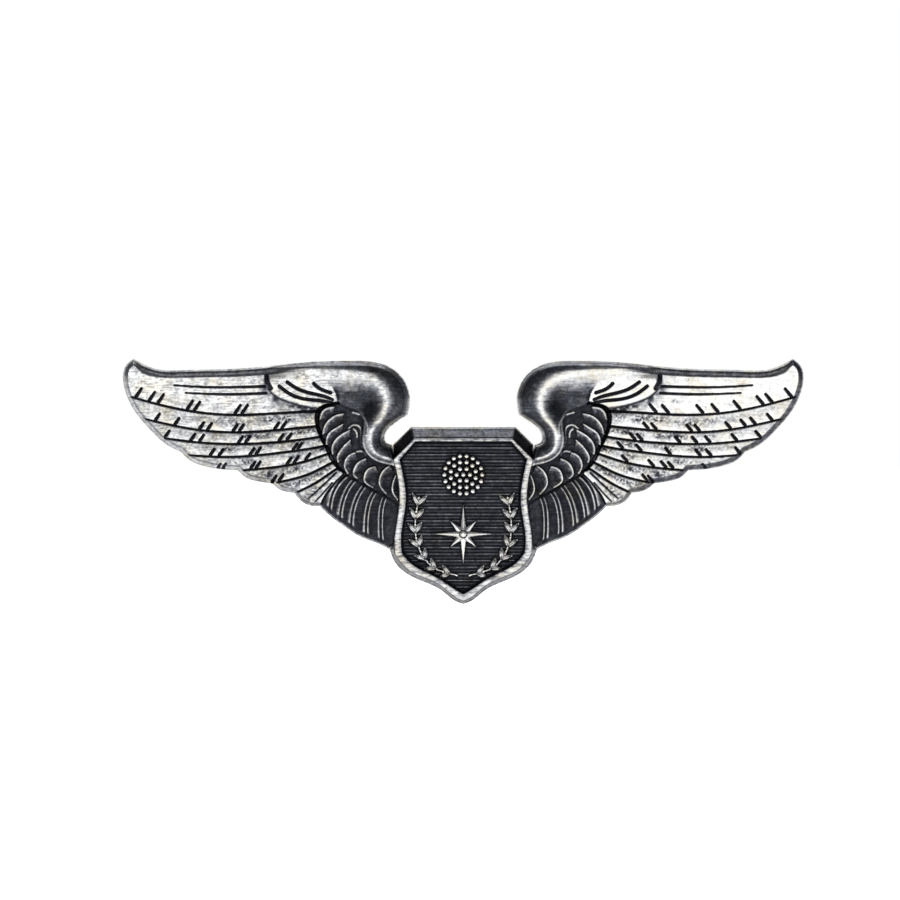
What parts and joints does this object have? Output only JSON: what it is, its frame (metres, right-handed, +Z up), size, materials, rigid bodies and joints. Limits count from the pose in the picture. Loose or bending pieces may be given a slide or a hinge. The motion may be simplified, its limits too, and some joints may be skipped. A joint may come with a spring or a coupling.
{
  "type": "pilot wings pin",
  "caption": "Antique silver wings badge with a central shield, soldered clutch posts behind and butterfly clutches that pinch open and slide off.",
  "frame": {"origin": "middle of the flat back face, where it lies on the cloth", "axes": "+X along the wingspan, -Y out of the front of the badge, +Y along the posts, +Z up as worn"},
  "size_m": [0.077, 0.0115, 0.0277],
  "materials": {
    "antique_silver": "blackened silver plate, polished high spots",
    "post_metal": "satin nickel plate",
    "solder": "dull grey solder",
    "clutch_metal": "bright stamped brass"
  },
  "bodies": {
    "badge": {"badge_body": "antique_silver", "post_solder": "solder", "left_post": "post_metal", "right_post": "post_metal", "lower_post": "post_metal"},
    "left_clutch": {"left_clutch_base": "clutch_metal"},
    "left_spring": {"left_clutch_web": "clutch_metal"},
    "left_leaf_a": {"left_clutch_leaf_a": "clutch_metal"},
    "left_leaf_b": {"left_clutch_leaf_b": "clutch_metal"},
    "right_clutch": {"right_clutch_base": "clutch_metal"},
    "right_spring": {"right_clutch_web": "clutch_metal"},
    "right_leaf_a": {"right_clutch_leaf_a": "clutch_metal"},
    "right_leaf_b": {"right_clutch_leaf_b": "clutch_metal"},
    "lower_clutch": {"lower_clutch_base": "clutch_metal"},
    "lower_spring": {"lower_clutch_web": "clutch_metal"},
    "lower_leaf_a": {"lower_clutch_leaf_a": "clutch_metal"},
    "lower_leaf_b": {"lower_clutch_leaf_b": "clutch_metal"}
  },
  "joints": [
    {"name": "left_clutch_pull", "type": "slide", "parent": "badge", "child": "left_clutch", "axis": [0, 1, 0], "range_m": [-0.0008, 0.008]},
    {"name": "left_spring_turn", "type": "hinge", "parent": "left_clutch", "child": "left_spring", "pos_m": [-0.02, 0.00262, 0.0056], "axis": [0, 1, 0], "continuous": true},
    {"name": "left_leaf_a_squeeze", "type": "hinge", "parent": "left_spring", "child": "left_leaf_a", "pos_m": [-0.02272, 0.00262, 0.00628], "axis": [0.2419, 0, 0.9703], "range_deg": [0, 8], "stiffness_Nm_per_rad": 0.02},
    {"name": "left_leaf_b_squeeze", "type": "hinge", "parent": "left_spring", "child": "left_leaf_b", "pos_m": [-0.01728, 0.00262, 0.00492], "axis": [-0.2419, 0, -0.9703], "range_deg": [0, 8], "stiffness_Nm_per_rad": 0.02},
    {"name": "right_clutch_pull", "type": "slide", "parent": "badge", "child": "right_clutch", "axis": [0, 1, 0], "range_m": [-0.0008, 0.008]},
    {"name": "right_spring_turn", "type": "hinge", "parent": "right_clutch", "child": "right_spring", "pos_m": [0.02, 0.00262, 0.0056], "axis": [0, 1, 0], "continuous": true},
    {"name": "right_leaf_a_squeeze", "type": "hinge", "parent": "right_spring", "child": "right_leaf_a", "pos_m": [0.01724, 0.00262, 0.00511], "axis": [-0.1736, 0, 0.9848], "range_deg": [0, 8], "stiffness_Nm_per_rad": 0.02},
    {"name": "right_leaf_b_squeeze", "type": "hinge", "parent": "right_spring", "child": "right_leaf_b", "pos_m": [0.02276, 0.00262, 0.00609], "axis": [0.1736, 0, -0.9848], "range_deg": [0, 8], "stiffness_Nm_per_rad": 0.02},
    {"name": "lower_clutch_pull", "type": "slide", "parent": "badge", "child": "lower_clutch", "axis": [0, 1, 0], "range_m": [-0.0008, 0.008]},
    {"name": "lower_spring_turn", "type": "hinge", "parent": "lower_clutch", "child": "lower_spring", "pos_m": [0, 0.00262, -0.006], "axis": [0, 1, 0], "continuous": true},
    {"name": "lower_leaf_a_squeeze", "type": "hinge", "parent": "lower_spring", "child": "lower_leaf_a", "pos_m": [0, 0.00262, -0.0032], "axis": [1, 0, 0], "range_deg": [0, 8], "stiffness_Nm_per_rad": 0.02},
    {"name": "lower_leaf_b_squeeze", "type": "hinge", "parent": "lower_spring", "child": "lower_leaf_b", "pos_m": [0, 0.00262, -0.0088], "axis": [-1, 0, 0], "range_deg": [0, 8], "stiffness_Nm_per_rad": 0.02}
  ],
  "couplings": [
    {"joint": "left_leaf_b_squeeze", "follows": "left_leaf_a_squeeze", "ratio": 1},
    {"joint": "right_leaf_b_squeeze", "follows": "right_leaf_a_squeeze", "ratio": 1},
    {"joint": "lower_leaf_b_squeeze", "follows": "lower_leaf_a_squeeze", "ratio": 1}
  ]
}
